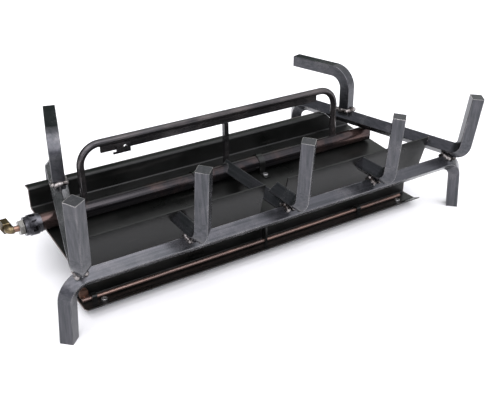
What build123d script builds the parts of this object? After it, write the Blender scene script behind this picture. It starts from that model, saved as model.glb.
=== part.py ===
from build123d import *
from math import cos, radians, sin, tan
import os

# Gas log burner assembly: a welded grate of square steel bar that carries a bent
# sheet burner pan, a ported burner tube with its gas inlet, a log rest and an
# ember trough. Millimetres, +Z up, +X to the right along the front rail, +Y to
# the rear. While the parts are made, y = 0 is the axis of the front rail; the last
# step puts the origin under the middle of the whole assembly.

# ---- Driving dimensions ------------------------------------------------------
# Square bar of the grate
bar_side = 15.875
bar_edge_round = 1.0
weld_sink = 1.85            # how deep a bar lying on the rail is let into it

# Front rail with its two legs
rail_half_width = 282.8     # leg axis to centre, at rail height
rail_axis_z = 72.2
rail_bend_radius = 24.0
leg_splay_deg = 4.07

# End bars: upright, run to the rear, rear leg
end_bar_half_width = 271.8  # at the front bend
end_bar_front_y = -20.9
end_bar_length = 294.3
end_bar_toe_deg = 13.9
end_bar_front_radius = 16.0
end_bar_rear_radius = 24.0
end_upright_lean_deg = 7.6
left_upright_height = 88.7
right_upright_height = 81.7

# Log stops on the rail
log_stop_pitch = 135.0
log_stop_front_y = -28.5
log_stop_height = 86.9
log_stop_lean_deg = 5.8
log_stop_radius = 15.0

# Centre arm
arm_front_x = 3.5
arm_rear_x = 3.0            # over the tube's axis
arm_rise = 1.3              # of its axis over the rail's
arm_hold = 6.5              # how far its coped end reaches past the tube's axis

# Rear hooks on the end bars
hook_setback = 197.0        # along the end bar from its front bend
hook_top_z = 168.5
hook_reach = 95.0
hook_toe_deg = 17.0
hook_radius = 24.0

# Burner pan, a bent sheet
pan_left_x = -256.0
pan_right_x = 252.5
pan_sheet = 1.5
pan_bend_radius = 3.0
pan_rear_y = 199.0
pan_rear_top_z = 90.0
pan_lip_depth = 12.0
pan_floor_slope_deg = 5.244
pan_front_floor_y = 41.0
pan_front_top_y = 24.0
pan_front_top_z = 104.4
pan_notch_left = -17.0
pan_notch_right = 16.0
pan_bar_clearance = 0.6

# Burner tube
tube_diameter = 21.3
tube_wall = 2.3
tube_axis_y = 143.5
tube_bar_clearance = 0.3    # under the end bars
tube_floor_clearance = 1.3  # over the pan
tube_left_x = -266.0
tube_end_inset = 0.7        # inside the outer corner of the right end bar
port_count = 26
port_diameter = 2.4
port_turn_deg = 135.0       # from straight up towards the front
port_margin = 32.0

# Straps that hold the tube down, the hanger at its right end, screws
strap_half_pitch = 50.0
strap_width = 9.0
strap_sheet = 1.2
strap_foot = 14.0
hanger_width = 16.0
hanger_sheet = 2.0
hanger_height = 32.0
hanger_rise = 0.2           # of its top over the end bar's axis
cap_flange = 0.8
cap_plug_length = 9.0
screw_diameter = 4.0
screw_head_diameter = 7.6
screw_head_height = 2.4
screw_clearance = 0.1       # radial, in every screw hole
screw_grip = 2.0            # thread standing out past the last sheet

# Gas inlet on the left end of the tube
mixer_wall = 0.8            # over the tube
mixer_bore = 15.0
mixer_length = 20.0
mixer_overlap = 4.5         # how far the mixer is screwed over the tube
groove_pitch = 1.8
groove_width = 0.9
groove_depth = 0.4
air_slot_gap = 1.5          # from the tube's end to the slots
air_slot_length = 7.0
air_slot_width = 8.0
shutter_sheet = 1.2
shutter_length = 10.0
shutter_clearance = 0.15
nut_across_flats = 17.0
nut_length = 6.5
orifice_diameter = 9.0
orifice_bore = 1.8
orifice_length = 12.0
nipple_diameter = 7.6
nipple_bore = 5.0
nipple_length = 6.0
elbow_diameter = 9.6
elbow_reach = 17.0
elbow_bend_radius = 5.2
elbow_nut_gap = 0.5
flare_neck_diameter = 8.0
flare_rim_diameter = 10.0
flare_rim_length = 2.0
flare_thread_diameter = 10.6
flare_nut_across_flats = 13.4
flare_nut_length = 15.0
flare_running_clearance = 0.08

# Log rest behind the tube
rod_diameter = 9.5
rod_tube_clearance = 1.1
rod_left_x = -198.8
rod_right_x = 191.8
rod_top_z = 146.5
rod_bend_radius = 26.0
strip_height = 8.7
strip_thickness = 3.0
strip_left_x = -171.0
strip_right_x = 159.0
post_side = 6.4
post_x = 8.0
tab_left_x = -151.0
tab_width = 19.0
tab_drop = 5.0              # below the strip
tab_rise = 6.0              # up over the strip's front face
tab_sheet = 2.0
tab_hole_diameter = 4.8
tab_hole_from_right = 7.0

# Ember trough near the floor
trough_left_x = -257.0
trough_right_x = 245.0
trough_sheet = 1.2
trough_bend_radius = 2.0
trough_floor_z = 8.0
trough_front_y = 33.0
trough_rear_y = 56.0
trough_wall_height = 18.0
trough_lip_run = 11.0
trough_lip_rise = 5.0
trough_foot_width = 20.0
trough_foot_half_pitch = 224.0
trough_foot_inset = 1.2
trough_foot_run = 9.0       # of its flange on the floor
ember_tube_diameter = 4.8
ember_tube_wall = 0.8
ember_tube_y = 45.5
ember_tube_lift = 0.5       # its clear height over the trough's floor
ember_tube_left_margin = 3.0
ember_tube_right_margin = 17.0
ember_port_count = 24
ember_port_diameter = 1.2
ember_fitting_x = -249.5
ember_fitting_width = 10.0
ember_fitting_depth = 6.0
ember_fitting_height = 11.0
ember_boss_diameter = 3.6
ember_feed_bore = 2.0
clip_width = 9.0
clips = ((-240.0, 6.0, 16.5), (-4.0, 3.0, 33.0), (150.0, 6.0, 16.5))  # x, thickness, top z
trough_screw_y = 38.4

# ---- Values that follow from them -------------------------------------------
half_diagonal = bar_side * 2 ** 0.5 / 2
on_rail_z = rail_axis_z + 2 * half_diagonal - weld_sink
tube_radius = tube_diameter / 2
tube_axis_z = on_rail_z - half_diagonal - tube_bar_clearance - tube_radius
mixer_diameter = tube_diameter + 2 * mixer_wall
rod_y = tube_axis_y + tube_radius + rod_tube_clearance + rod_diameter / 2
floor_slope = tan(radians(pan_floor_slope_deg))
floor_drop = (tube_radius + tube_floor_clearance + pan_sheet / 2) / cos(radians(pan_floor_slope_deg))
pan_front_floor_z = tube_axis_z - floor_drop - (tube_axis_y - pan_front_floor_y) * floor_slope
pan_rear_floor_z = pan_front_floor_z + (pan_rear_y - pan_front_floor_y) * floor_slope
leg_spread = rail_axis_z * tan(radians(leg_splay_deg))
end_bar_toe = radians(end_bar_toe_deg)
end_bar_over_tube_x = end_bar_half_width - (tube_axis_y - end_bar_front_y) * tan(end_bar_toe)
tube_right_x = end_bar_over_tube_x + half_diagonal / cos(end_bar_toe) - tube_end_inset
hanger_bottom_z = on_rail_z + hanger_rise - hanger_height

axis_x = Vector(1, 0, 0)
axis_y = Vector(0, 1, 0)
axis_z = Vector(0, 0, 1)


# ---- Shared shapes -----------------------------------------------------------
def square_section(side, corner_up):
    return RectangleRounded(side, side, bar_edge_round, rotation=45 if corner_up else 0)


def run_along(points, radii, section, across):
    """Sweep a section along straight runs joined by tangent arcs."""
    start = Vector(*points[0])
    heading = (Vector(*points[1]) - start).normalized()
    path = Line(*points) if len(points) == 2 else FilletPolyline(*points, radius=radii)
    return sweep(Plane(origin=start, x_dir=across, z_dir=heading) * section, path)


def rod_between(start, end, diameter):
    return run_along([start, end], None, Circle(diameter / 2), square_to(start, end))


def square_to(start, end):
    heading = (Vector(*end) - Vector(*start)).normalized()
    helper = axis_x if abs(heading.X) < 0.9 else axis_y
    return heading.cross(helper).normalized()


def hexagon(across_flats, length, rotation=0):
    return extrude(RegularPolygon(across_flats / 2, 6, major_radius=False, rotation=rotation), length)


def along_x(x, y, z):
    """A plane whose normal is +X, for turned parts on an axis along X."""
    return Plane(origin=(x, y, z), x_dir=(0, 1, 0), z_dir=(1, 0, 0))


def turned(x, y, z, diameter, length):
    """A cylinder on an axis along X that starts at x."""
    return extrude(along_x(x, y, z) * Circle(diameter / 2), length)


def pan_floor_z(y):
    """Top face of the pan's sloping floor."""
    half_sheet = pan_sheet / 2 * (1 + floor_slope ** 2) ** 0.5
    return pan_front_floor_z + (y - pan_front_floor_y) * floor_slope + half_sheet


def screw(place, shank_length):
    """Pan-head screw: the head stands on the plane, the shank goes below it."""
    shank = Pos(0, 0, -shank_length / 2) * Cylinder(screw_diameter / 2, shank_length)
    head = Pos(0, 0, screw_head_height / 2) * Cylinder(screw_head_diameter / 2, screw_head_height)
    head = fillet(head.edges().sort_by(Axis.Z)[-1], screw_head_height * 0.4)
    cross = Box(screw_head_diameter * 0.6, 0.9, 1.0) + Box(0.9, screw_head_diameter * 0.6, 1.0)
    return place * (shank + head - Pos(0, 0, screw_head_height) * cross)


def screw_hole(place, depth):
    return place * Cylinder(screw_diameter / 2 + screw_clearance, depth)


below_floor = Pos(0, 100, -50) * Box(1000, 1000, 100)


# ---- Front rail --------------------------------------------------------------
def make_front_rail():
    foot = rail_half_width + leg_spread * 1.3
    foot_z = -rail_axis_z * 0.3
    points = [
        (-foot, 0, foot_z),
        (-rail_half_width, 0, rail_axis_z),
        (rail_half_width, 0, rail_axis_z),
        (foot, 0, foot_z),
    ]
    bent = run_along(points, rail_bend_radius, square_section(bar_side, True), axis_y)
    return bent - below_floor


# ---- End bars ----------------------------------------------------------------
def end_bar_direction(side):
    """Unit vector from the rear to the front of an end bar."""
    toe = radians(end_bar_toe_deg)
    return Vector(side * sin(toe), -cos(toe), 0)


def end_bar_point(side, setback):
    front = Vector(side * end_bar_half_width, end_bar_front_y, on_rail_z)
    return front - end_bar_direction(side) * setback


def bare_end_bar(side, upright_height, size):
    forward = end_bar_direction(side)
    front = end_bar_point(side, 0)
    rear = end_bar_point(side, end_bar_length)
    foot = Vector(rear.X, rear.Y, -half_diagonal)
    lean = upright_height * tan(radians(end_upright_lean_deg))
    top = front + forward * lean + axis_z * upright_height
    points = [tuple(foot), tuple(rear), tuple(front), tuple(top)]
    radii = [end_bar_rear_radius, end_bar_front_radius]
    bent = run_along(points, radii, square_section(size, True), forward.cross(axis_z))
    return bent - below_floor


# ---- Log stops ---------------------------------------------------------------
def make_log_stop(x, rail, pan_wall_space):
    lean = log_stop_height * tan(radians(log_stop_lean_deg))
    points = [
        (x, pan_front_floor_y, on_rail_z),
        (x, log_stop_front_y, on_rail_z),
        (x, log_stop_front_y - lean, on_rail_z + log_stop_height),
    ]
    bent = run_along(points, log_stop_radius, square_section(bar_side, True), axis_x)
    return bent - rail - pan_wall_space


# ---- Centre arm from the rail to the tube ------------------------------------
def make_centre_arm(rail, tube_space):
    start = (arm_front_x, half_diagonal * 0.55, rail_axis_z + arm_rise)
    past = (arm_rear_x - arm_front_x) * bar_side / tube_axis_y
    end = (arm_rear_x + past, tube_axis_y + bar_side, rail_axis_z + arm_rise)
    arm = run_along([start, end], None, square_section(bar_side, True), square_to(start, end))
    end_y = tube_axis_y + arm_hold
    behind = Pos(0, end_y + 50, rail_axis_z) * Box(100, 100, 100)
    return arm - rail - tube_space - behind


# ---- Rear hooks --------------------------------------------------------------
def make_rear_hook(side, end_bar):
    toe = radians(hook_toe_deg)
    back = Vector(-side * sin(toe), cos(toe), 0)
    base = end_bar_point(side, hook_setback) + axis_z * (half_diagonal * 0.4)
    corner = Vector(base.X, base.Y, hook_top_z - bar_side / 2)
    tip = corner + back * hook_reach
    points = [tuple(base), tuple(corner), tuple(tip)]
    bent = run_along(points, hook_radius, square_section(bar_side, False), back.cross(axis_z))
    return bent - end_bar


# ---- Burner pan --------------------------------------------------------------
pan_middle_x = (pan_left_x + pan_right_x) / 2
pan_profile = [
    (pan_middle_x, pan_rear_y + pan_lip_depth, pan_rear_top_z),
    (pan_middle_x, pan_rear_y, pan_rear_top_z),
    (pan_middle_x, pan_rear_y, pan_rear_floor_z),
    (pan_middle_x, pan_front_floor_y, pan_front_floor_z),
    (pan_middle_x, pan_front_top_y, pan_front_top_z),
]


def make_pan(bar_spaces, holes):
    sheet = Rectangle(pan_right_x - pan_left_x, pan_sheet)
    pan = run_along(pan_profile, pan_bend_radius, sheet, axis_x)
    notch_width = pan_notch_right - pan_notch_left
    notch_height = pan_front_top_z - pan_front_floor_z
    notch_x = (pan_notch_left + pan_notch_right) / 2
    notch_z = pan_front_floor_z + pan_bend_radius + notch_height / 2
    notch = Pos(notch_x, pan_front_top_y, notch_z) * Box(notch_width, 60, notch_height)
    return pan - notch - bar_spaces - holes


def make_pan_wall_space():
    """All that lies behind the front face of the pan's front wall."""
    low = Vector(0, pan_front_floor_y, pan_front_floor_z)
    high = Vector(0, pan_front_top_y, pan_front_top_z)
    up = (high - low).normalized()
    out = axis_x.cross(up) if axis_x.cross(up).Y < 0 else up.cross(axis_x)
    face = Plane(origin=tuple(low + out * (pan_sheet / 2)), x_dir=(1, 0, 0), z_dir=tuple(-out))
    return extrude(face * Rectangle(600, 400), 60)


# ---- Burner tube and its straps ----------------------------------------------
def make_burner_tube():
    length = tube_right_x - tube_left_x
    outer = turned(tube_left_x, tube_axis_y, tube_axis_z, tube_diameter, length)
    inner = turned(tube_left_x, tube_axis_y, tube_axis_z, tube_diameter - 2 * tube_wall, length)
    tube = outer - inner
    turn = radians(port_turn_deg)
    outward = Vector(0, -sin(turn), cos(turn))
    pitch = (length - 2 * port_margin) / (port_count - 1)
    ports = []
    for number in range(port_count):
        x = tube_left_x + port_margin + number * pitch
        middle = Vector(x, tube_axis_y, tube_axis_z)
        end = middle + outward * (tube_radius + 2)
        ports.append(rod_between(tuple(middle), tuple(end), port_diameter))
    return tube - ports


def strap_plane(x):
    """Plane on the pan floor under the tube, +Z square to the floor."""
    normal = Vector(0, -floor_slope, 1).normalized()
    rise = (tube_axis_z - pan_floor_z(tube_axis_y)) * normal.Z
    origin = Vector(x, tube_axis_y, tube_axis_z) - normal * rise
    return Plane(origin=tuple(origin), x_dir=(1, 0, 0), z_dir=tuple(normal)), rise


def make_strap(x):
    place, rise = strap_plane(x)
    outer = tube_radius + strap_sheet
    span = Pos(0, rise / 2) * Rectangle(2 * outer, rise) + Pos(0, rise) * Circle(outer)
    feet = Pos(0, strap_sheet / 2) * Rectangle(2 * (outer + strap_foot), strap_sheet)
    hollow = Pos(0, rise / 2 - 5) * Rectangle(tube_diameter, rise + 10) + Pos(0, rise) * Circle(tube_radius)
    below = Pos(0, -10) * Rectangle(200, 20)
    face = span + feet - hollow - below
    upright = Plane(origin=(-strap_width / 2, 0, 0), x_dir=(0, 1, 0), z_dir=(1, 0, 0))
    strap = place * extrude(upright * face, strap_width)
    for hole in strap_screw_places(x):
        strap -= screw_hole(hole, 6)
    return strap


def strap_screw_places(x):
    place, rise = strap_plane(x)
    reach = tube_radius + strap_sheet + strap_foot / 2
    return [place * Pos(0, hand * reach, strap_sheet) for hand in (-1, 1)]


def hanger_screw_place():
    x = tube_right_x + cap_flange + hanger_sheet
    return along_x(x, tube_axis_y, tube_axis_z).location


def make_end_cap():
    plug_diameter = tube_diameter - 2 * tube_wall
    flange = turned(tube_right_x, tube_axis_y, tube_axis_z, tube_diameter, cap_flange)
    plug = turned(tube_right_x - cap_plug_length, tube_axis_y, tube_axis_z, plug_diameter, cap_plug_length)
    return flange + plug - screw_hole(hanger_screw_place(), 60)


def make_hanger(end_bar):
    x = tube_right_x + cap_flange + hanger_sheet / 2
    z = hanger_bottom_z + hanger_height / 2
    plate = Pos(x, tube_axis_y, z) * Box(hanger_sheet, hanger_width, hanger_height)
    corners = plate.edges().filter_by(Axis.X).group_by(Axis.Z)[0]
    plate = fillet(corners, 4)
    return plate - end_bar - screw_hole(hanger_screw_place(), 60)


# ---- Gas inlet ---------------------------------------------------------------
mixer_right_x = tube_left_x + mixer_overlap
mixer_left_x = mixer_right_x - mixer_length
shutter_x = tube_left_x - air_slot_length - air_slot_gap
nut_left_x = mixer_left_x - nut_length
elbow_x = nut_left_x - nipple_length - elbow_bend_radius - elbow_nut_gap


def make_mixer():
    """Screwed over the tube's end, with an air slot each side."""
    y, z = tube_axis_y, tube_axis_z
    body = turned(mixer_left_x, y, z, mixer_diameter, mixer_length)
    for number in range(2):
        ring_x = mixer_right_x - (number + 1) * groove_pitch
        groove = turned(ring_x, y, z, mixer_diameter + 2, groove_width)
        body -= groove - turned(ring_x, y, z, mixer_diameter - 2 * groove_depth, groove_width)
    body -= turned(tube_left_x, y, z, tube_diameter, mixer_overlap)
    body -= turned(mixer_left_x, y, z, mixer_bore, mixer_length - mixer_overlap)
    slot_x = tube_left_x - air_slot_gap - air_slot_length / 2
    for turn in (0, 90):
        cutter = Box(air_slot_length, air_slot_width, mixer_diameter * 2)
        body -= Pos(slot_x, y, z) * Rot(turn, 0, 0) * cutter
    return body


def make_shutter():
    """Rolled band that turns on the mixer to cover its air slots."""
    y, z = tube_axis_y, tube_axis_z
    bore = mixer_diameter + 2 * shutter_clearance
    x = shutter_x - (shutter_length - air_slot_length) / 2
    band = turned(x, y, z, bore + 2 * shutter_sheet, shutter_length)
    band -= turned(x, y, z, bore, shutter_length)
    for turn in (0, 90):
        window = Box(air_slot_length - 1, air_slot_width - 1, mixer_diameter * 2)
        band -= Pos(shutter_x + air_slot_length / 2, y, z) * Rot(turn, 0, 0) * window
    ear = Pos(x + shutter_length / 2, y, z) * Rot(45, 0, 0) * Pos(0, 0, bore / 2 + shutter_sheet + 2)
    return band + ear * Box(shutter_length * 0.5, shutter_sheet, 5)


def make_lock_nut():
    nut = along_x(nut_left_x, tube_axis_y, tube_axis_z) * hexagon(nut_across_flats, nut_length, 30)
    nut = chamfer(nut.edges().filter_by(Axis.X, reverse=True), 0.8)
    return nut - turned(nut_left_x, tube_axis_y, tube_axis_z, orifice_diameter, nut_length)


def make_orifice():
    """Brass spud screwed through the nut, its jet facing down the mixer."""
    y, z = tube_axis_y, tube_axis_z
    spud = turned(nut_left_x, y, z, orifice_diameter, orifice_length)
    jet = turned(nut_left_x, y, z, orifice_bore, orifice_length)
    chamber = turned(nut_left_x, y, z, nipple_bore, orifice_length * 0.6)
    return spud - jet - chamber


def make_nipple():
    y, z = tube_axis_y, tube_axis_z
    x = nut_left_x - nipple_length
    return turned(x, y, z, nipple_diameter, nipple_length) - turned(x, y, z, nipple_bore, nipple_length)


def elbow_outlet(start, diameter, length):
    """A cylinder on the elbow's outlet axis, which points to the rear."""
    place = Plane(origin=(elbow_x, tube_axis_y + start, tube_axis_z), x_dir=(1, 0, 0), z_dir=(0, 1, 0))
    return extrude(place * Circle(diameter / 2), length)


def make_elbow():
    y, z = tube_axis_y, tube_axis_z
    inlet_x = nut_left_x - nipple_length
    route = [(inlet_x, y, z), (elbow_x, y, z), (elbow_x, y + elbow_reach, z)]
    shoulder = [route[0], route[1], (elbow_x, y + elbow_diameter * 0.6, z)]
    body = run_along(shoulder, elbow_bend_radius, Circle(elbow_diameter / 2), axis_z)
    rim_start = elbow_reach - flare_rim_length
    body += elbow_outlet(elbow_diameter * 0.6, flare_neck_diameter, rim_start - elbow_diameter * 0.6)
    body += elbow_outlet(rim_start, flare_rim_diameter, flare_rim_length)
    return body - run_along(route, elbow_bend_radius, Circle(nipple_bore / 2), axis_z)


def make_flare_nut():
    start = elbow_diameter * 0.6 + 0.4
    place = Plane(origin=(elbow_x, tube_axis_y + start, tube_axis_z), x_dir=(1, 0, 0), z_dir=(0, 1, 0))
    nut = place * hexagon(flare_nut_across_flats, flare_nut_length)
    nut = chamfer(nut.edges().filter_by(Axis.Y, reverse=True), 0.6)
    nut -= elbow_outlet(start, flare_neck_diameter + 2 * flare_running_clearance, flare_nut_length)
    seat = elbow_reach - flare_rim_length - 0.4
    nut -= elbow_outlet(seat, flare_rim_diameter + 1.0, flare_rim_length + 0.8)
    return nut - elbow_outlet(seat, flare_thread_diameter, flare_nut_length)


# ---- Log rest ----------------------------------------------------------------
rod_bottom_z = rod_top_z - rod_diameter / 2
strip_bottom_z = rod_bottom_z - strip_height


def make_log_rest_bar(pan):
    foot_z = pan_floor_z(rod_y) - pan_sheet / 2
    points = [
        (rod_left_x, rod_y, foot_z),
        (rod_left_x, rod_y, rod_top_z),
        (rod_right_x, rod_y, rod_top_z),
        (rod_right_x, rod_y, foot_z),
    ]
    return run_along(points, rod_bend_radius, Circle(rod_diameter / 2), axis_y) - pan


def tab_hole():
    x = tab_left_x + tab_width - tab_hole_from_right
    z = strip_bottom_z + 2.8
    place = Plane(origin=(x, rod_y, z), x_dir=(1, 0, 0), z_dir=(0, 1, 0))
    return place * Cylinder(tab_hole_diameter / 2, 30)


def make_log_rest_strip():
    length = strip_right_x - strip_left_x
    middle = Pos((strip_left_x + strip_right_x) / 2, rod_y, strip_bottom_z + strip_height / 2)
    return middle * Box(length, strip_thickness, strip_height) - tab_hole()


def make_log_rest_post(pan):
    foot_z = pan_floor_z(rod_y) - pan_sheet / 2
    height = strip_bottom_z - foot_z
    return Pos(post_x, rod_y, foot_z + height / 2) * Box(post_side, post_side, height) - pan


def make_pilot_tab():
    height = tab_drop + tab_rise
    y = rod_y - strip_thickness / 2 - tab_sheet / 2
    z = strip_bottom_z - tab_drop + height / 2
    tab = Pos(tab_left_x + tab_width / 2, y, z) * Box(tab_width, tab_sheet, height)
    prong = Pos(tab_left_x - 1.5, y, strip_bottom_z - tab_drop + 1.2) * Box(6, tab_sheet, 2.4)
    return tab + prong - tab_hole()


# ---- Ember trough ------------------------------------------------------------
trough_length = trough_right_x - trough_left_x
trough_middle_x = (trough_left_x + trough_right_x) / 2
trough_top_z = trough_floor_z + trough_sheet / 2
ember_tube_z = trough_top_z + ember_tube_lift + ember_tube_diameter / 2
ember_tube_left_x = trough_left_x + ember_tube_left_margin
ember_tube_right_x = trough_right_x - ember_tube_right_margin
trough_feet_x = (trough_middle_x - trough_foot_half_pitch, trough_middle_x + trough_foot_half_pitch)


def trough_screw_places():
    return [Pos(x, trough_screw_y, trough_top_z) for x in trough_feet_x]


def make_trough():
    points = [
        (trough_middle_x, trough_front_y - trough_lip_run, trough_floor_z + trough_lip_rise),
        (trough_middle_x, trough_front_y, trough_floor_z),
        (trough_middle_x, trough_rear_y, trough_floor_z),
        (trough_middle_x, trough_rear_y, trough_floor_z + trough_wall_height),
    ]
    trough = run_along(points, trough_bend_radius, Rectangle(trough_length, trough_sheet), axis_x)
    for place in trough_screw_places():
        trough -= screw_hole(place, 6)
    return trough


def make_trough_foot(x):
    """Folded strip: screwed up under the trough, down at the rear, forward on the floor."""
    high = trough_floor_z - trough_sheet
    low = trough_sheet / 2
    front = trough_front_y + trough_foot_inset
    rear = trough_rear_y - trough_foot_inset
    points = [(x, front, high), (x, rear, high), (x, rear, low), (x, rear - trough_foot_run, low)]
    foot = run_along(points, trough_bend_radius, Rectangle(trough_foot_width, trough_sheet), axis_x)
    for place in trough_screw_places():
        foot -= screw_hole(place, 10)
    return foot


def make_ember_tube():
    length = ember_tube_right_x - ember_tube_left_x
    bore = ember_tube_diameter - 2 * ember_tube_wall
    tube = turned(ember_tube_left_x, ember_tube_y, ember_tube_z, ember_tube_diameter, length)
    plug = turned(ember_tube_right_x - 3, ember_tube_y, ember_tube_z, bore, 3)
    tube = tube - turned(ember_tube_left_x, ember_tube_y, ember_tube_z, bore, length) + plug
    pitch = (length - 40) / (ember_port_count - 1)
    ports = []
    for number in range(ember_port_count):
        x = ember_tube_left_x + 20 + number * pitch
        start = (x, ember_tube_y, ember_tube_z)
        end = (x, ember_tube_y + ember_tube_diameter, ember_tube_z + ember_tube_diameter)
        ports.append(rod_between(start, end, ember_port_diameter))
    return tube - ports


def make_ember_fitting():
    """Copper block on the trough's rear wall that feeds the ember tube."""
    wall_y = trough_rear_y - trough_sheet / 2
    bottom_z = trough_top_z + trough_bend_radius
    middle = Pos(ember_fitting_x, wall_y - ember_fitting_depth / 2, bottom_z + ember_fitting_height / 2)
    block = middle * Box(ember_fitting_width, ember_fitting_depth, ember_fitting_height)
    block = chamfer(block.edges().filter_by(Axis.Y), 1.5)
    front = (ember_fitting_x, ember_tube_y, ember_tube_z)
    rear = (ember_fitting_x, wall_y - ember_fitting_depth / 2, ember_tube_z)
    boss = rod_between(front, rear, ember_boss_diameter)
    inlet = (ember_fitting_x, rear[1], bottom_z + ember_fitting_height + 1)
    tube_space = turned(trough_left_x, ember_tube_y, ember_tube_z, ember_tube_diameter, trough_length)
    feed = rod_between(front, rear, ember_feed_bore) + rod_between(rear, inlet, ember_feed_bore)
    return block + boss - tube_space - feed


def make_ember_clip(x, thickness, top_z):
    height = top_z - trough_top_z
    plate = Pos(x, ember_tube_y, trough_top_z + height / 2) * Box(thickness, clip_width, height)
    plate = fillet(plate.edges().filter_by(Axis.X).group_by(Axis.Z)[-1], clip_width * 0.3)
    return plate - turned(trough_left_x, ember_tube_y, ember_tube_z, ember_tube_diameter, trough_length)


# ---- Assembly ----------------------------------------------------------------
front_rail = make_front_rail()
pan_wall_space = make_pan_wall_space()
tube_space = turned(tube_left_x, tube_axis_y, tube_axis_z, tube_diameter, tube_right_x - tube_left_x)
bare_left = bare_end_bar(-1, left_upright_height, bar_side)
bare_right = bare_end_bar(1, right_upright_height, bar_side)
spaced = bar_side + 2 * pan_bar_clearance
bar_spaces = [
    bare_end_bar(-1, left_upright_height, spaced),
    bare_end_bar(1, right_upright_height, spaced),
]
strap_xs = (-strap_half_pitch, strap_half_pitch)
strap_places = [place for x in strap_xs for place in strap_screw_places(x)]
strap_screw_length = strap_sheet + pan_sheet + screw_grip
trough_screw_length = 2 * trough_sheet + screw_grip
pan = make_pan(bar_spaces, [screw_hole(place, 12) for place in strap_places])

nodes = {
    "front_rail": front_rail,
    "left_end_bar": bare_left - front_rail,
    "right_end_bar": bare_right - front_rail,
    "left_log_stop": make_log_stop(-log_stop_pitch, front_rail, pan_wall_space),
    "middle_log_stop": make_log_stop(0, front_rail, pan_wall_space),
    "right_log_stop": make_log_stop(log_stop_pitch, front_rail, pan_wall_space),
    "centre_arm": make_centre_arm(front_rail, tube_space),
    "left_rear_hook": make_rear_hook(-1, bare_left),
    "right_rear_hook": make_rear_hook(1, bare_right),
    "burner_pan": pan,
    "burner_tube": make_burner_tube(),
    "tube_straps": Compound(children=[make_strap(x) for x in strap_xs]),
    "strap_screws": Compound(children=[screw(place, strap_screw_length) for place in strap_places]),
    "tube_end_cap": make_end_cap(),
    "tube_hanger": make_hanger(bare_right),
    "hanger_screw": screw(hanger_screw_place(), hanger_sheet + cap_flange + cap_plug_length),
    "mixer_body": make_mixer(),
    "air_shutter": make_shutter(),
    "lock_nut": make_lock_nut(),
    "gas_orifice": make_orifice(),
    "inlet_nipple": make_nipple(),
    "inlet_elbow": make_elbow(),
    "flare_nut": make_flare_nut(),
    "log_rest_bar": make_log_rest_bar(pan),
    "log_rest_strip": make_log_rest_strip(),
    "log_rest_post": make_log_rest_post(pan),
    "pilot_tab": make_pilot_tab(),
    "ember_trough": make_trough(),
    "trough_feet": Compound(children=[make_trough_foot(x) for x in trough_feet_x]),
    "ember_tube": make_ember_tube(),
    "ember_tube_fitting": make_ember_fitting(),
    "ember_tube_clips": Compound(children=[make_ember_clip(*clip) for clip in clips]),
    "trough_screws": Compound(children=[screw(place, trough_screw_length) for place in trough_screw_places()]),
}

# The origin goes under the middle of the whole assembly, on the surface it stands on.
extents = [solid.bounding_box() for shape in nodes.values() for solid in shape.solids()]
lowest = [min(tuple(box.min)[axis] for box in extents) for axis in range(3)]
highest = [max(tuple(box.max)[axis] for box in extents) for axis in range(3)]
to_origin = Pos(-(lowest[0] + highest[0]) / 2, -(lowest[1] + highest[1]) / 2, -lowest[2])

os.makedirs("parts", exist_ok=True)
for name, shape in nodes.items():
    export_step(to_origin * shape, "parts/" + name + ".step")
print("moved to origin by", to_origin.position)
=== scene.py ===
import math
import random

import bpy
from mathutils import Matrix, Vector


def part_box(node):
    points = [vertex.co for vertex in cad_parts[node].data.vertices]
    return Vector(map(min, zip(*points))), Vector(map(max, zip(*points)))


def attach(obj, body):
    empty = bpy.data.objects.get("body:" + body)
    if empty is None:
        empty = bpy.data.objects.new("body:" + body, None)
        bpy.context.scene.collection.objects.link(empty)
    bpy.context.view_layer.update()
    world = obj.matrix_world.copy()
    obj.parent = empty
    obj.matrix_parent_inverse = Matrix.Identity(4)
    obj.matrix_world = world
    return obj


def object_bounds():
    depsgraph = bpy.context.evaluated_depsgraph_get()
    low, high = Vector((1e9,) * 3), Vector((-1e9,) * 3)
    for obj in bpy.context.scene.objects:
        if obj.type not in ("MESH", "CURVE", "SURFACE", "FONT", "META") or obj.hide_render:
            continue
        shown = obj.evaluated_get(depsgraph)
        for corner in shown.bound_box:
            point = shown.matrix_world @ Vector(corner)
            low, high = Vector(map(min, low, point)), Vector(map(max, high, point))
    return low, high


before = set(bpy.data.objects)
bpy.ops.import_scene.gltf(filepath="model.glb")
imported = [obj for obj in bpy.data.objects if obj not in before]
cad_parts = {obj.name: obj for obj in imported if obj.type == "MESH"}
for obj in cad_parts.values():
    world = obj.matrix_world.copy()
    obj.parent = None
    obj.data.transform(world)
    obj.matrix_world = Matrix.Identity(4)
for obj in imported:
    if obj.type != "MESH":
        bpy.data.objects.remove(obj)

cad_low, cad_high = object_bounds()
bpy.ops.object.select_all(action="DESELECT")


# ---- Front rail -------------------------------------------------------------
# Hot-rolled square bar, set corner up and bent down into two front legs, with a
# satin dark heat-resistant coat. Mill streaks run along the bar and turn down
# with it at the bends; the coat is rubbed a little lighter in patches.
def wire(tree, out, into):
    tree.links.new(out, into)


def noise_of(tree, coords, scale, detail, stretch=(1, 1, 1)):
    mapping = tree.nodes.new("ShaderNodeMapping")
    mapping.inputs["Scale"].default_value = stretch
    wire(tree, coords, mapping.inputs["Vector"])
    noise = tree.nodes.new("ShaderNodeTexNoise")
    noise.inputs["Scale"].default_value = scale
    noise.inputs["Detail"].default_value = detail
    noise.inputs["Roughness"].default_value = 0.6
    wire(tree, mapping.outputs["Vector"], noise.inputs["Vector"])
    return noise.outputs["Fac"]


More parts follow.
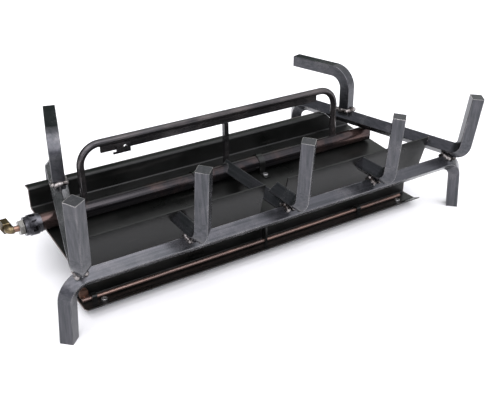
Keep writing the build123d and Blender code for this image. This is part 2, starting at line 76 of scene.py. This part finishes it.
def ranged(tree, value, low, high, out_low, out_high):
    node = tree.nodes.new("ShaderNodeMapRange")
    node.inputs["From Min"].default_value = low
    node.inputs["From Max"].default_value = high
    node.inputs["To Min"].default_value = out_low
    node.inputs["To Max"].default_value = out_high
    wire(tree, value, node.inputs["Value"])
    return node.outputs["Result"]


def maths(tree, operation, first, second):
    node = tree.nodes.new("ShaderNodeMath")
    node.operation = operation
    for number, value in enumerate((first, second)):
        if isinstance(value, (int, float)):
            node.inputs[number].default_value = value
        else:
            wire(tree, value, node.inputs[number])
    return node.outputs["Value"]


def blended(tree, factor, first, second):
    node = tree.nodes.new("ShaderNodeMix")
    node.data_type = "RGBA"
    wire(tree, factor, node.inputs["Factor"])
    for socket, value in ((node.inputs["A"], first), (node.inputs["B"], second)):
        if isinstance(value, tuple):
            socket.default_value = (*value, 1)
        else:
            wire(tree, value, socket)
    return node.outputs["Result"]


def new_finish(name, metallic):
    finish = bpy.data.materials.new(name)
    finish.use_nodes = True
    tree = finish.node_tree
    shader = tree.nodes["Principled BSDF"]
    shader.inputs["Metallic"].default_value = metallic
    coords = tree.nodes.new("ShaderNodeTexCoord").outputs["Object"]
    return finish, tree, shader, coords


def bumped(tree, shader, height, strength, distance):
    bump = tree.nodes.new("ShaderNodeBump")
    bump.inputs["Strength"].default_value = strength
    bump.inputs["Distance"].default_value = distance
    wire(tree, height, bump.inputs["Height"])
    wire(tree, bump.outputs["Normal"], shader.inputs["Normal"])


# Edge mask, used to paint highlights along sharp corners.
def sharp_edge_mask(tree, radius):
    """1 on sharp edges and 0 on the flats, from how far a bevel would turn the surface."""
    bevel = tree.nodes.new("ShaderNodeBevel")
    bevel.samples = 6
    bevel.inputs["Radius"].default_value = radius
    flat = tree.nodes.new("ShaderNodeNewGeometry").outputs["Normal"]
    likeness = tree.nodes.new("ShaderNodeVectorMath")
    likeness.operation = "DOT_PRODUCT"
    wire(tree, bevel.outputs["Normal"], likeness.inputs[0])
    wire(tree, flat, likeness.inputs[1])
    return ranged(tree, likeness.outputs["Value"], 0.995, 0.93, 0, 1)


def bar_finish(name, along, low, high):
    """Streaks follow the bar: level between the heights low and high, upright outside."""
    finish, tree, shader, coords = new_finish(name, 0.85)
    place = tree.nodes.new("ShaderNodeSeparateXYZ")
    wire(tree, coords, place.inputs["Vector"])
    under = maths(tree, "LESS_THAN", place.outputs["Z"], low)
    over = maths(tree, "GREATER_THAN", place.outputs["Z"], high)
    upright = maths(tree, "ADD", under, over)
    level = noise_of(tree, coords, 1, 4, along)
    standing = noise_of(tree, coords, 1, 4, (420, 420, 9))
    streak = maths(tree, "ADD", maths(tree, "MULTIPLY", level, maths(tree, "SUBTRACT", 1, upright)),
                   maths(tree, "MULTIPLY", standing, upright))
    patches = noise_of(tree, coords, 34, 5)
    specks = noise_of(tree, coords, 900, 2)
    coat = blended(tree, ranged(tree, streak, 0.35, 0.68, 0, 1), (0.045, 0.048, 0.052), (0.085, 0.084, 0.093))
    rubbed = blended(tree, ranged(tree, patches, 0.52, 0.75, 0, 0.5), coat, (0.135, 0.13, 0.135))
    dusty = blended(tree, ranged(tree, specks, 0.62, 0.75, 0, 0.45), rubbed, (0.05, 0.048, 0.046))
    # Painted highlight: the sharp bar corners are lightened in patches to stand for the light lines along the
    # edges.
    bar_edge_highlight = maths(tree, "MULTIPLY", sharp_edge_mask(tree, 0.0011), ranged(tree, patches, 0.35, 0.6, 0.15, 0.9))
    coat_and_edge_highlight = blended(tree, bar_edge_highlight, dusty, (0.66, 0.63, 0.61))
    wire(tree, coat_and_edge_highlight, shader.inputs["Base Color"])
    wire(tree, ranged(tree, patches, 0.3, 0.7, 0.17, 0.3), shader.inputs["Roughness"])
    bumped(tree, shader, maths(tree, "ADD", streak, specks), 0.1, 0.0003)
    return finish


def put_finish(finish, *nodes):
    for node in nodes:
        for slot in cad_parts[node].material_slots:
            slot.material = finish


rail_low, rail_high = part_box("front_rail")
bar_diagonal = rail_high.y - rail_low.y
rail_axis = rail_high.z - bar_diagonal / 2
rail_finish = bar_finish("rail_coat", (9, 420, 420), rail_axis - bar_diagonal, 1)
put_finish(rail_finish, "front_rail")

# ---- End bars, log stops, centre arm and rear hooks ---------------------------
# The same bar and coat. The end bars run to the rear and turn down as rear legs;
# the stops are L-shaped, the arm is straight and the hooks stand on the end bars.
side_finish = bar_finish("side_bar_coat", (420, 9, 420), rail_axis, rail_axis + 2 * bar_diagonal)
put_finish(side_finish, "left_end_bar", "right_end_bar", "centre_arm")
put_finish(side_finish, "left_log_stop", "middle_log_stop", "right_log_stop")
hook_finish = bar_finish("hook_coat", (420, 9, 420), -1, 1)
put_finish(hook_finish, "left_rear_hook", "right_rear_hook")

# ---- Weld beads ---------------------------------------------------------------
# Short hand-laid beads join the bars where they cross. Each is a row of
# overlapping ripples run together, silver with brown heat marks and spatter.
weld_finish, tree, shader, coords = new_finish("weld_metal", 0.9)
heat = noise_of(tree, coords, 160, 4)
ripple = noise_of(tree, coords, 700, 3)
scale_brown = blended(tree, ranged(tree, heat, 0.4, 0.6, 0, 1), (0.035, 0.028, 0.025), (0.3, 0.28, 0.27))
wire(tree, scale_brown, shader.inputs["Base Color"])
wire(tree, ranged(tree, ripple, 0.3, 0.7, 0.22, 0.5), shader.inputs["Roughness"])
bumped(tree, shader, ripple, 0.4, 0.0006)
weld_dice = random.Random(7)


def lay_weld(name, start, end, width, spatter=5):
    """A bead from start to end, with a few balls of spatter beside it."""
    run = end - start
    count = max(4, round(run.length / (width * 0.32)))
    lumps = []
    for number in range(count + spatter):
        if number < count:
            place = start + run * (number / (count - 1))
            place += Vector([weld_dice.uniform(-0.08, 0.08) * width for _ in range(3)])
            size = width * weld_dice.uniform(0.44, 0.56)
        else:
            place = start + run * weld_dice.random()
            place += Vector([weld_dice.uniform(-0.55, 0.55) * width for _ in range(3)])
            size = width * weld_dice.uniform(0.14, 0.24)
        bpy.ops.mesh.primitive_ico_sphere_add(subdivisions=2, radius=size, location=place)
        lumps.append(bpy.context.active_object)
    bpy.ops.object.select_all(action="DESELECT")
    for lump in lumps:
        lump.select_set(True)
    bpy.context.view_layer.objects.active = lumps[0]
    bpy.ops.object.join()
    bead = bpy.context.active_object
    bpy.ops.object.transform_apply(location=True, rotation=True, scale=True)
    bead.name = name
    remesh = bead.modifiers.new("run_together", "REMESH")
    remesh.mode = "VOXEL"
    remesh.voxel_size = width * 0.085
    bpy.ops.object.modifier_apply(modifier=remesh.name)
    soften = bead.modifiers.new("flow", "SMOOTH")
    soften.factor = 0.5
    soften.iterations = 3
    bpy.ops.object.modifier_apply(modifier=soften.name)
    bpy.ops.object.shade_smooth()
    bead.data.materials.append(weld_finish)
    bpy.ops.object.select_all(action="DESELECT")
    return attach(bead, "root")


rail_top = rail_axis + bar_diagonal / 2
rail_y = (rail_high.y + rail_low.y) / 2
bead_width = bar_diagonal * 0.3
for stop in ("left_log_stop", "middle_log_stop", "right_log_stop"):
    low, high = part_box(stop)
    middle = (low.x + high.x) / 2
    for hand, side in ((-1, "left"), (1, "right")):
        x = middle + hand * bar_diagonal * 0.2
        front = Vector((x, rail_y - bar_diagonal * 0.3, rail_top - bar_diagonal * 0.14))
        back = Vector((x, rail_y + bar_diagonal * 0.3, rail_top - bar_diagonal * 0.14))
        crest = Vector((x + hand * bar_diagonal * 0.06, rail_y, rail_top + bar_diagonal * 0.06))
        lay_weld(f"weld_{stop}_{side}_front", front, crest, bead_width)
        lay_weld(f"weld_{stop}_{side}_rear", crest, back, bead_width)

end_bar_toe_deg = 13.9
end_bar_slope = math.tan(math.radians(end_bar_toe_deg))
for node, hand in (("left_end_bar", -1), ("right_end_bar", 1)):
    low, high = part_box(node)
    rear_x = low.x if hand > 0 else high.x
    rear_x += hand * bar_diagonal / 2
    rear_y = high.y - bar_diagonal / 2
    over_rail = rear_x + hand * (rear_y - rail_y) * end_bar_slope
    for edge, side in ((-1, "left"), (1, "right")):
        x = over_rail + edge * bar_diagonal * 0.22
        drop = bar_diagonal * (0.2 if edge == hand else 0.12)
        front = Vector((x + hand * 0.001, rail_y - bar_diagonal * 0.3, rail_top - drop))
        back = Vector((x - hand * 0.001, rail_y + bar_diagonal * 0.3, rail_top - drop))
        crest = Vector((x + edge * bar_diagonal * 0.05, rail_y, rail_top))
        lay_weld(f"weld_{node}_{side}_front", front, crest, bead_width)
        lay_weld(f"weld_{node}_{side}_rear", crest, back, bead_width)

for node, hand in (("left_rear_hook", -1), ("right_rear_hook", 1)):
    low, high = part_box(node)
    post_x = (high.x if hand > 0 else low.x) - hand * bar_diagonal * 0.45
    post_y = low.y + bar_diagonal * 0.45
    seat = low.z + bar_diagonal * 0.3
    for edge in (-1, 1):
        x = post_x + edge * bar_diagonal * 0.36
        ahead = Vector((x + hand * 0.002, post_y - bar_diagonal * 0.3, seat))
        behind = Vector((x - hand * 0.002, post_y + bar_diagonal * 0.3, seat))
        lay_weld(f"weld_{node}_{'left' if edge < 0 else 'right'}", ahead, behind, bead_width)
    ahead_y = post_y - bar_diagonal * 0.42
    lay_weld(f"weld_{node}_front", Vector((post_x - 0.006, ahead_y, seat)),
             Vector((post_x + 0.006, ahead_y, seat + 0.001)), bead_width)

arm_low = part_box("centre_arm")[0]
for hand, side in ((-1, "left"), (1, "right")):
    x = arm_low.x + bar_diagonal * 0.52 + hand * bar_diagonal * 0.22
    lay_weld(f"weld_centre_arm_{side}", Vector((x, rail_y + bar_diagonal * 0.2, rail_top - 0.006)),
             Vector((x, rail_y + bar_diagonal * 0.55, rail_top - 0.008)), bead_width)

# ---- Burner pan and trough ------------------------------------------------------
# Both are bent sheet in a near-black coat with a warm brown cast. A painted
# highlight shows the thin cut edges as fine light lines, and dust lies on the floor.
pan_low, pan_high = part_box("burner_pan")
trough_low, trough_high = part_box("ember_trough")


def sheet_finish(name, low, high, edge, edge_shine):
    """Dark sheet with a painted highlight on its cut edges at both ends and at the rear."""
    finish, tree, shader, coords = new_finish(name, 0.3)
    place = tree.nodes.new("ShaderNodeSeparateXYZ")
    wire(tree, coords, place.inputs["Vector"])
    # Painted highlight: a thin band at both ends and along the rear is lightened to stand for light lines on
    # the edges.
    sheet_edge_highlight = maths(tree, "GREATER_THAN", place.outputs["X"], high.x - edge)
    sheet_edge_highlight = maths(tree, "MAXIMUM", sheet_edge_highlight, maths(tree, "GREATER_THAN", place.outputs["Y"], high.y - edge))
    sheet_edge_highlight = maths(tree, "MAXIMUM", sheet_edge_highlight, maths(tree, "LESS_THAN", place.outputs["X"], low.x + edge))
    clouds = noise_of(tree, coords, 14, 6)
    fine = noise_of(tree, coords, 620, 3)
    scuffs = noise_of(tree, coords, 30, 5, (0.4, 3, 3))
    cloudy = ranged(tree, clouds, 0.35, 0.7, 0, 1)
    coat = blended(tree, cloudy, (0.003, 0.0034, 0.003), (0.011, 0.0112, 0.0105))
    scuffed = blended(tree, ranged(tree, scuffs, 0.6, 0.76, 0, 0.4), coat, (0.045, 0.042, 0.04))
    sheet_edge_highlight = maths(tree, "MULTIPLY", sheet_edge_highlight, ranged(tree, fine, 0.2, 0.6, 0.4, edge_shine))
    coat_and_edge_highlight = blended(tree, sheet_edge_highlight, scuffed, (0.3, 0.25, 0.23))
    wire(tree, coat_and_edge_highlight, shader.inputs["Base Color"])
    wire(tree, ranged(tree, clouds, 0.3, 0.7, 0.24, 0.4), shader.inputs["Roughness"])
    bumped(tree, shader, fine, 0.12, 0.0003)
    return finish


put_finish(sheet_finish("pan_coat", pan_low, pan_high, 0.0009, 0.5), "burner_pan")
trough_finish = sheet_finish("trough_coat", trough_low, trough_high, 0.0009, 0.8)
put_finish(trough_finish, "ember_trough")
loose = Vector((1, 1, 1))
small_sheet_finish = sheet_finish("small_sheet_coat", cad_low - loose, cad_high + loose, 0.001, 0)
put_finish(small_sheet_finish, "tube_straps", "tube_hanger", "trough_feet", "ember_tube_clips")

# ---- Burner tube, end cap and log rest -------------------------------------------
# Steel pipe and rod with a thinner coat that shines more than the bars, drawn
# lines along the pipe, and a pinkish heat tint where the coat is thin.


def drawn_finish(name, along, dark, light, tint, low_rough, high_rough):
    finish, tree, shader, coords = new_finish(name, 0.8)
    lines = noise_of(tree, coords, 1, 4, along)
    blush = noise_of(tree, coords, 22, 4)
    specks = noise_of(tree, coords, 800, 2)
    coat = blended(tree, ranged(tree, lines, 0.35, 0.65, 0, 1), dark, light)
    warm = blended(tree, ranged(tree, blush, 0.45, 0.7, 0, 0.7), coat, tint)
    wire(tree, warm, shader.inputs["Base Color"])
    wire(tree, ranged(tree, blush, 0.3, 0.7, low_rough, high_rough), shader.inputs["Roughness"])
    bumped(tree, shader, maths(tree, "ADD", lines, specks), 0.14, 0.0003)
    return finish


put_finish(drawn_finish("pipe_coat", (9, 500, 500), (0.013, 0.013, 0.015), (0.034, 0.031, 0.033),
                        (0.115, 0.07, 0.06), 0.1, 0.2), "burner_tube", "tube_end_cap")
put_finish(drawn_finish("ember_tube_coat", (9, 500, 500), (0.13, 0.09, 0.08), (0.3, 0.21, 0.18),
                        (0.3, 0.18, 0.14), 0.22, 0.34), "ember_tube")
put_finish(drawn_finish("rod_coat", (9, 500, 500), (0.022, 0.021, 0.023), (0.07, 0.068, 0.07),
                        (0.12, 0.105, 0.1), 0.12, 0.24),
           "log_rest_bar", "log_rest_strip", "log_rest_post", "pilot_tab")

# ---- Gas inlet ---------------------------------------------------------------------
# Dark iron mixer and shutter, a plated nut, then copper nipple and brass elbow
# with its flare nut. Turned brass has fine rings and tarnish in the hollows.
iron_finish, tree, shader, coords = new_finish("oiled_iron", 0.85)
grit = noise_of(tree, coords, 500, 4)
oil = noise_of(tree, coords, 90, 3)
wire(tree, blended(tree, ranged(tree, oil, 0.4, 0.65, 0, 1), (0.02, 0.02, 0.023), (0.11, 0.11, 0.122)),
     shader.inputs["Base Color"])
wire(tree, ranged(tree, grit, 0.3, 0.7, 0.22, 0.42), shader.inputs["Roughness"])
bumped(tree, shader, grit, 0.35, 0.0006)
put_finish(iron_finish, "mixer_body", "air_shutter")

put_finish(drawn_finish("plated_steel", (500, 60, 60), (0.06, 0.06, 0.058), (0.27, 0.27, 0.26),
                        (0.24, 0.22, 0.18), 0.2, 0.36), "lock_nut")
put_finish(drawn_finish("turned_brass", (500, 60, 60), (0.035, 0.027, 0.017), (0.18, 0.135, 0.07),
                        (0.09, 0.075, 0.05), 0.2, 0.38), "inlet_elbow", "flare_nut", "gas_orifice")
put_finish(drawn_finish("dull_copper", (40, 400, 400), (0.1, 0.062, 0.045), (0.26, 0.155, 0.115),
                        (0.2, 0.11, 0.08), 0.24, 0.4), "inlet_nipple", "ember_tube_fitting")

# ---- Screws ---------------------------------------------------------------------------
# Pan-head screws whose zinc plate has dulled and yellowed slightly.
put_finish(drawn_finish("zinc_plate", (300, 300, 300), (0.14, 0.14, 0.14), (0.4, 0.4, 0.4),
                        (0.26, 0.23, 0.18), 0.14, 0.26), "strap_screws", "hanger_screw", "trough_screws")

# ---- Floor, light and camera --------------------------------------------------------------
# A pale studio floor, two broad soft lights and a white surround.
bpy.ops.mesh.primitive_plane_add(size=12, location=(0, 0, 0))
floor = bpy.context.active_object
floor.name = "studio_floor"
bpy.ops.object.transform_apply(location=True, rotation=True, scale=True)
floor_finish, tree, shader, coords = new_finish("pale_floor", 0)
shade = noise_of(tree, coords, 3, 2)
floor_white = blended(tree, ranged(tree, shade, 0.3, 0.7, 0, 1), (0.9, 0.9, 0.9), (0.92, 0.92, 0.92))
wire(tree, floor_white, shader.inputs["Base Color"])
shader.inputs["Roughness"].default_value = 0.7
floor.data.materials.append(floor_finish)

world = bpy.data.worlds.new("studio_surround")
world.use_nodes = True
tree = world.node_tree
sky = tree.nodes["Background"]
backdrop = tree.nodes.new("ShaderNodeBackground")
backdrop.inputs["Color"].default_value = (1, 1, 1, 1)
facing = tree.nodes.new("ShaderNodeVectorMath")
facing.operation = "DOT_PRODUCT"
facing.inputs[1].default_value = (-0.3, -0.8, 0.52)
wire(tree, tree.nodes.new("ShaderNodeTexCoord").outputs["Generated"], facing.inputs[0])
lit = ranged(tree, facing.outputs["Value"], -0.3, 0.9, 0, 1)
wire(tree, blended(tree, lit, (0.02, 0.042, 0.026), (1.1, 1.1, 1.24)), sky.inputs["Color"])
choose = tree.nodes.new("ShaderNodeMixShader")
wire(tree, tree.nodes.new("ShaderNodeLightPath").outputs["Is Camera Ray"], choose.inputs["Fac"])
wire(tree, sky.outputs["Background"], choose.inputs[1])
wire(tree, backdrop.outputs["Background"], choose.inputs[2])
wire(tree, choose.outputs["Shader"], tree.nodes["World Output"].inputs["Surface"])
bpy.context.scene.world = world
bpy.context.scene.view_settings.view_transform = "Standard"


def soft_sun(name, towards, spread, strength, colour):
    light = bpy.data.lights.new(name, "SUN")
    light.angle = math.radians(spread)
    light.energy = strength
    light.color = colour
    lamp = bpy.data.objects.new(name, light)
    lamp.rotation_euler = Vector(towards).to_track_quat("-Z", "Y").to_euler()
    bpy.context.scene.collection.objects.link(lamp)


soft_sun("key_sun", (0.35, 0.55, -1), 80, 2.9, (1, 0.98, 0.99))
soft_sun("fill_sun", (-0.6, 0.2, -1), 120, 1.8, (1, 1, 1))

camera_data = bpy.data.cameras.new("studio_camera")
camera_data.sensor_width = 36
camera_data.lens = 55.64
camera = bpy.data.objects.new("studio_camera", camera_data)
camera_place = (-0.47717, -0.78631, 0.5244)
camera_heading_deg = -32.379
camera_dip_deg = 27.782
camera_roll_deg = -0.33
turn = Matrix.Rotation(math.radians(camera_heading_deg), 4, "Z")
tilt = Matrix.Rotation(math.radians(90 - camera_dip_deg), 4, "X")
roll = Matrix.Rotation(math.radians(camera_roll_deg), 4, "Z")
camera.matrix_world = Matrix.Translation(camera_place) @ turn @ tilt @ roll
bpy.context.scene.collection.objects.link(camera)
bpy.context.scene.camera = camera
